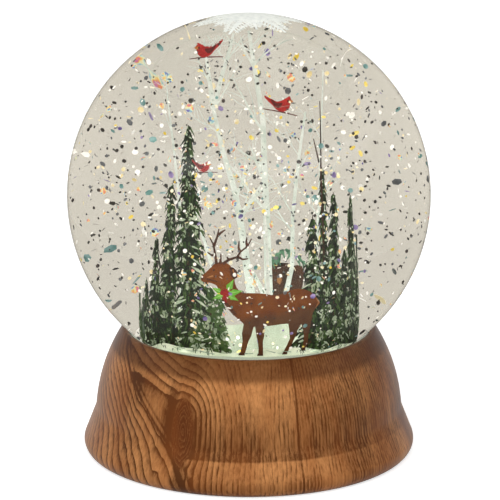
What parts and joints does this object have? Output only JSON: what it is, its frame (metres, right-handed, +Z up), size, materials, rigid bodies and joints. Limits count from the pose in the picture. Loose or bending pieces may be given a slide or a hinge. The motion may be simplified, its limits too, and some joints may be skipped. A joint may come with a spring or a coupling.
{
  "type": "snow globe",
  "caption": "Clear liquid-filled globe with a printed winter scene tube and loose glitter, on a bell-shaped lit base with a stirring motor and battery bay.",
  "frame": {"origin": "centre of the underside, on the surface that the globe stands on", "axes": "+Z up along the globe's axis; -Y is the front, where the stag is; the switch is at the back of the underside"},
  "size_m": [0.15, 0.15, 0.1842],
  "materials": {
    "wood_look": "satin printed wood grain",
    "brown_plastic": "fine moulded texture",
    "foot_rubber": "matt",
    "screw_steel": "zinc plated",
    "white_plastic": "moulded",
    "contact_brass": "plated",
    "spring_steel": "nickel plated",
    "cell_jacket": "printed metal jacket with no lettering",
    "board_green": "solder mask",
    "black_plastic": "moulded",
    "wire_jacket": "smooth",
    "knob_plastic": "ribbed",
    "lit_plastic": "translucent white, lit from below",
    "board_white": "white solder mask",
    "led_lens": "lit lens",
    "bracket_steel": "pressed sheet",
    "motor_can": "drawn steel can",
    "shaft_steel": "ground",
    "magnet": "sintered",
    "seal_rubber": "smooth",
    "impeller_plastic": "moulded",
    "clear_globe": "clear polished",
    "liquid": "clear liquid",
    "snow_white": "translucent white, lit from below",
    "clear_tube": "clear film",
    "ink_birch": "printed ink",
    "ink_pine": "printed ink",
    "ink_snow": "printed ink",
    "ink_deer": "printed ink",
    "ink_doe": "printed ink",
    "ink_holly": "printed ink",
    "ink_cardinal": "printed ink",
    "glitter": "holographic foil",
    "decal_white": "printed film"
  },
  "bodies": {
    "base": {"base_shell": "wood_look", "bottom_cover": "brown_plastic", "rubber_feet": "foot_rubber", "cover_screws": "screw_steel", "battery_case": "white_plastic", "battery_contacts": "contact_brass", "battery_springs": "spring_steel", "battery_cells": "cell_jacket", "circuit_board": "board_green", "board_parts": "black_plastic", "wiring": "wire_jacket", "switch_body": "black_plastic", "globe_cradle": "lit_plastic", "cradle_screws": "screw_steel", "led_ring_board": "board_white", "leds": "led_lens", "clamp_ring": "white_plastic", "clamp_screws": "screw_steel", "motor_bracket": "bracket_steel", "small_screws": "screw_steel", "motor": "motor_can", "globe_plug": "lit_plastic", "plug_seal": "seal_rubber", "impeller_pin": "shaft_steel", "globe_shell": "clear_globe", "liquid_fill": "liquid", "snow_floor": "snow_white", "scene_tube": "clear_tube", "birch_art": "ink_birch", "pine_art": "ink_pine", "snowbank_art": "ink_snow", "deer_art": "ink_deer", "doe_art": "ink_doe", "holly_art": "ink_holly", "cardinal_art": "ink_cardinal", "glitter_flakes": "glitter", "snowflake_decal": "decal_white"},
    "door": {"battery_door": "brown_plastic", "door_screw": "screw_steel"},
    "switch": {"switch_knob": "knob_plastic"},
    "rotor": {"motor_shaft": "shaft_steel", "drive_rotor": "white_plastic", "drive_magnets": "magnet"},
    "impeller": {"impeller": "impeller_plastic", "impeller_magnet": "magnet"}
  },
  "joints": [
    {"name": "rotor_spin", "type": "hinge", "parent": "base", "child": "rotor", "pos_m": [0, 0, 0.035], "axis": [0, 0, 1], "continuous": true},
    {"name": "impeller_spin", "type": "hinge", "parent": "base", "child": "impeller", "pos_m": [0, 0, 0.045], "axis": [0, 0, 1], "continuous": true},
    {"name": "switch_slide", "type": "slide", "parent": "base", "child": "switch", "axis": [1, 0, 0], "range_m": [-0.003, 0.003]},
    {"name": "door_lift", "type": "slide", "parent": "base", "child": "door", "axis": [0, 0, -1], "range_m": [0, 0.02]}
  ],
  "couplings": [
    {"joint": "impeller_spin", "follows": "rotor_spin", "ratio": 1}
  ]
}
